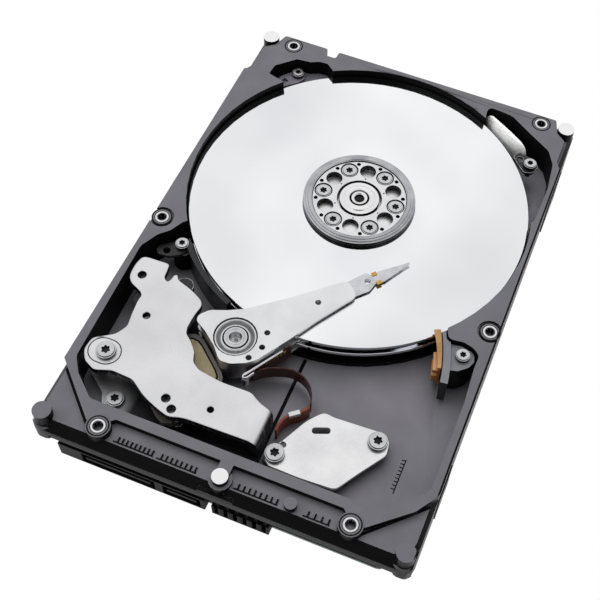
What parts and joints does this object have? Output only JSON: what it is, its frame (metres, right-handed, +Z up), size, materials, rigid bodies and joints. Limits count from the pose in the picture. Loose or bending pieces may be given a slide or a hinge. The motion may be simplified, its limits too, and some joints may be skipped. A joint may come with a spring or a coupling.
{
  "type": "hard disk drive",
  "caption": "Opened desktop hard disk drive: black cast base with mirror disks on a spindle, swinging head stack over a voice coil motor, load ramp, and a circuit board below.",
  "frame": {"origin": "middle of the underside, on the plane that the drive rests on", "axes": "+Y runs along the length, from the connector end to the disk end; +X across the width; +Z up to the open top"},
  "size_m": [0.1016, 0.147, 0.02],
  "materials": {
    "black_cast": "black electrocoated die casting, matt, machined on top",
    "machined_aluminium": "machined, satin",
    "steel": "nickel plated, satin",
    "platter_mirror": "polished mirror disk",
    "magnet_plating": "nickel plated",
    "copper_winding": "enamelled wire winding",
    "black_plastic": "moulded, matt",
    "grey_plastic": "moulded, matt",
    "amber_plastic": "moulded, satin",
    "filter_cloth": "non-woven filter",
    "flex_film": "polyimide film",
    "circuit_board": "solder mask",
    "foam": "soft foam"
  },
  "bodies": {
    "base": {"base_casting": "black_cast", "motor_base": "machined_aluminium", "bearing_sleeve": "machined_aluminium", "pivot_shaft": "steel", "lower_yoke": "steel", "upper_yoke": "steel", "flex_bracket": "steel", "upper_yoke_screw": "steel", "lower_yoke_screw": "steel", "ramp_screw": "steel", "limiter_screw": "steel", "filter_screw": "steel", "corner_bracket_screw": "steel", "flex_bracket_screw_1": "steel", "flex_bracket_screw_2": "steel", "upper_magnet": "magnet_plating", "lower_magnet": "magnet_plating", "stator_core": "copper_winding", "crash_stop": "black_plastic", "disk_limiter": "black_plastic", "filter_holder": "black_plastic", "flex_header": "black_plastic", "drive_connector": "black_plastic", "jumper_block": "black_plastic", "controller_chip": "black_plastic", "memory_chip": "black_plastic", "motor_driver_chip": "black_plastic", "ramp_bracket": "grey_plastic", "corner_bracket": "grey_plastic", "load_ramp": "amber_plastic", "recirculation_filter": "filter_cloth", "flex_loop": "flex_film", "flex_stiffener": "flex_film", "circuit_board": "circuit_board", "damping_foam": "foam"},
    "spindle": {"spindle_hub": "machined_aluminium", "spindle_shaft": "steel", "rotor_magnet": "magnet_plating", "lower_platter": "platter_mirror", "platter_spacer": "machined_aluminium", "upper_platter": "platter_mirror", "disk_clamp": "steel", "clamp_screw_1": "steel", "clamp_screw_2": "steel", "clamp_screw_3": "steel", "clamp_screw_4": "steel", "clamp_screw_5": "steel", "clamp_screw_6": "steel"},
    "head_stack": {"pivot_bearing": "steel", "actuator_arms": "machined_aluminium", "head_gimbal_top": "steel", "head_gimbal_middle_upper": "steel", "head_gimbal_middle_lower": "steel", "head_gimbal_bottom": "steel", "voice_coil": "copper_winding", "coil_frame": "black_plastic", "arm_flex_board": "flex_film", "arm_flex_clip": "steel"}
  },
  "joints": [
    {"name": "spindle_spin", "type": "hinge", "parent": "base", "child": "spindle", "pos_m": [0, 0.0233, 0.0155], "axis": [0, 0, 1], "continuous": true},
    {"name": "head_swing", "type": "hinge", "parent": "base", "child": "head_stack", "pos_m": [-0.01321, -0.03219, 0.0145], "axis": [0, 0, 1], "range_deg": [-29.6, 7.5], "deforming": ["flex_loop"]}
  ]
}
